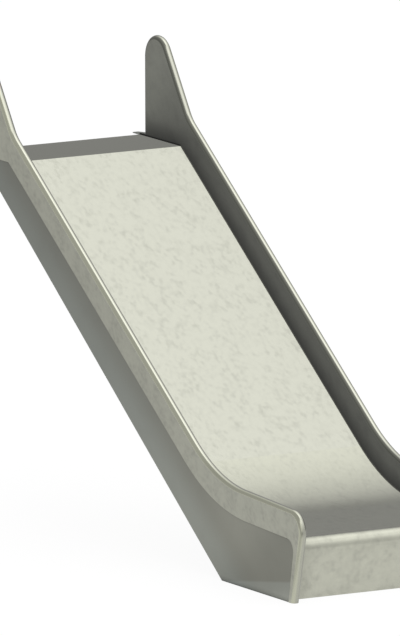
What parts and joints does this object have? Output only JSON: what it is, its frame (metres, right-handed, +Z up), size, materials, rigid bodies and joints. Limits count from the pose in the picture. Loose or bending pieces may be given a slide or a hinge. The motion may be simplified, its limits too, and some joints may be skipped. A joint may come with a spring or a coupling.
{
  "type": "embankment slide",
  "caption": "Wide stainless steel playground slide laid on a slope, with a level start platform, raised round-edged cheeks and a curved run-out.",
  "frame": {"origin": "on the ground, on the underside of the flange at the foot of the front skirt, midway across", "axes": "+X across the slide to the user's left as they come down, +Y up the embankment, +Z up"},
  "size_m": [1.04, 3.3962, 2.2707],
  "materials": {
    "slide_bed": "worn mottled satin sheet",
    "smooth_sheet": "smooth satin sheet",
    "front_sheet": "mottled satin sheet",
    "cheek_inside": "satin sheet",
    "cheek_rim": "polished round edge",
    "cheek_band": "mottled satin sheet",
    "lower_sheet": "plain dull sheet",
    "frame_section": "mill finish section"
  },
  "bodies": {
    "root": {"bed_rib_1": "frame_section", "bed_rib_2": "frame_section", "bed_rib_3": "frame_section", "bed_rib_4": "frame_section", "bed_rib_5": "frame_section", "bed_sheet": "slide_bed", "front_foot_plate_left": "frame_section", "front_foot_plate_right": "frame_section", "ground_tie_1": "frame_section", "ground_tie_2": "frame_section", "ground_tie_3": "frame_section", "inner_skin_left": "cheek_inside", "inner_skin_right": "cheek_inside", "lower_plate_left": "lower_sheet", "lower_plate_right": "lower_sheet", "nose_skirt": "front_sheet", "outer_band_left": "cheek_band", "outer_band_right": "cheek_band", "platform_rib_1": "frame_section", "platform_rib_2": "frame_section", "platform_sheet": "smooth_sheet", "rear_anchor_plate_left": "frame_section", "rear_anchor_plate_right": "frame_section", "rear_cross_tube": "frame_section", "rear_lug_left": "lower_sheet", "rear_lug_right": "lower_sheet", "rim_ear_left": "cheek_rim", "rim_ear_right": "cheek_rim", "rim_front_left": "cheek_rim", "rim_front_right": "cheek_rim", "rim_incline_left": "cheek_rim", "rim_incline_right": "cheek_rim", "rim_run_out_left": "cheek_rim", "rim_run_out_right": "cheek_rim", "run_out_rib_1": "frame_section", "run_out_rib_2": "frame_section", "run_out_sheet": "smooth_sheet"}
  },
  "joints": []
}
